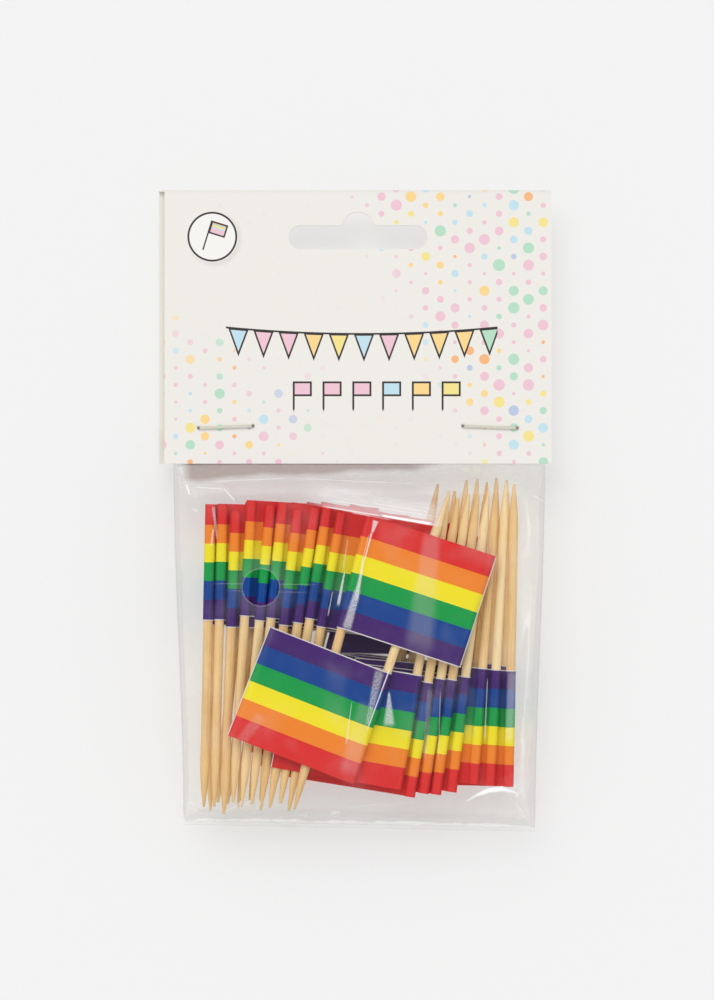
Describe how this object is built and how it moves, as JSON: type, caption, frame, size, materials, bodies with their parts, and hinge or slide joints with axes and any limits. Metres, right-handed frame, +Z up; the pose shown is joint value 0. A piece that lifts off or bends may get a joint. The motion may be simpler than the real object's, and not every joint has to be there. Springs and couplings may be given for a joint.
{
  "type": "flag_pick_packet",
  "caption": "Hang-sell packet of paper flag picks: two head-to-tail bunches of wooden picks in a clear film bag under a folded, stapled card with a hang slot",
  "frame": {"origin": "the highest point of the hang slot, half way between the card's two panels, where a display hook carries the packet", "axes": "+Z up along the hanging packet; front, with the staples' crowns and the vent hole, faces -Y; +X to the viewer's right as seen from the front"},
  "size_m": [0.0844, 0.0154, 0.1375],
  "materials": {
    "board": "white lined card with small printed dots, satin",
    "film": "clear glossy film with soft wrinkles",
    "wire": "bright flat staple wire",
    "birch": "turned pale birch, bare",
    "printed_paper": "coated paper printed with six rainbow stripes"
  },
  "bodies": {
    "packet": {"header_card": "board", "bag": "film", "staple_left": "wire", "staple_right": "wire"},
    "left_bunch": {"stick_left_01": "birch", "flag_left_01": "printed_paper", "stick_left_02": "birch", "flag_left_02": "printed_paper", "stick_left_03": "birch", "flag_left_03": "printed_paper", "stick_left_04": "birch", "flag_left_04": "printed_paper", "stick_left_05": "birch", "flag_left_05": "printed_paper", "stick_left_06": "birch", "flag_left_06": "printed_paper", "stick_left_07": "birch", "flag_left_07": "printed_paper", "stick_left_08": "birch", "flag_left_08": "printed_paper", "stick_left_09": "birch", "flag_left_09": "printed_paper", "stick_left_10": "birch", "flag_left_10": "printed_paper", "pick_left_rear_1": "birch", "pick_left_rear_2": "birch", "pick_left_rear_3": "birch", "pick_left_rear_4": "birch", "pick_left_rear_5": "birch", "pick_left_rear_6": "birch", "pick_left_rear_7": "birch", "pick_left_rear_8": "birch"},
    "right_bunch": {"stick_right_01": "birch", "flag_right_01": "printed_paper", "stick_right_02": "birch", "flag_right_02": "printed_paper", "stick_right_03": "birch", "flag_right_03": "printed_paper", "stick_right_04": "birch", "flag_right_04": "printed_paper", "stick_right_05": "birch", "flag_right_05": "printed_paper", "stick_right_06": "birch", "flag_right_06": "printed_paper", "stick_right_07": "birch", "flag_right_07": "printed_paper", "stick_right_08": "birch", "flag_right_08": "printed_paper", "pick_right_rear_1": "birch", "pick_right_rear_2": "birch", "pick_right_rear_3": "birch", "pick_right_rear_4": "birch", "pick_right_rear_5": "birch", "pick_right_rear_6": "birch", "pick_right_rear_7": "birch", "pick_right_rear_8": "birch"},
    "left_top_pick": {"stick_left_top": "birch", "flag_left_top": "printed_paper"},
    "right_top_pick": {"stick_right_top": "birch", "flag_right_top": "printed_paper"}
  },
  "joints": [
    {"name": "left_bunch_slide", "type": "slide", "parent": "packet", "child": "left_bunch", "axis": [0, 0, 1], "range_m": [0, 0.0015]},
    {"name": "right_bunch_slide", "type": "slide", "parent": "packet", "child": "right_bunch", "axis": [0, 0, 1], "range_m": [0, 0.0015]},
    {"name": "left_top_slide", "type": "slide", "parent": "packet", "child": "left_top_pick", "axis": [0.2521, 0, 0.9677], "range_m": [0, 0.0035]},
    {"name": "right_top_slide", "type": "slide", "parent": "packet", "child": "right_top_pick", "axis": [0.3256, 0, 0.9455], "range_m": [0, 0.0012]}
  ]
}
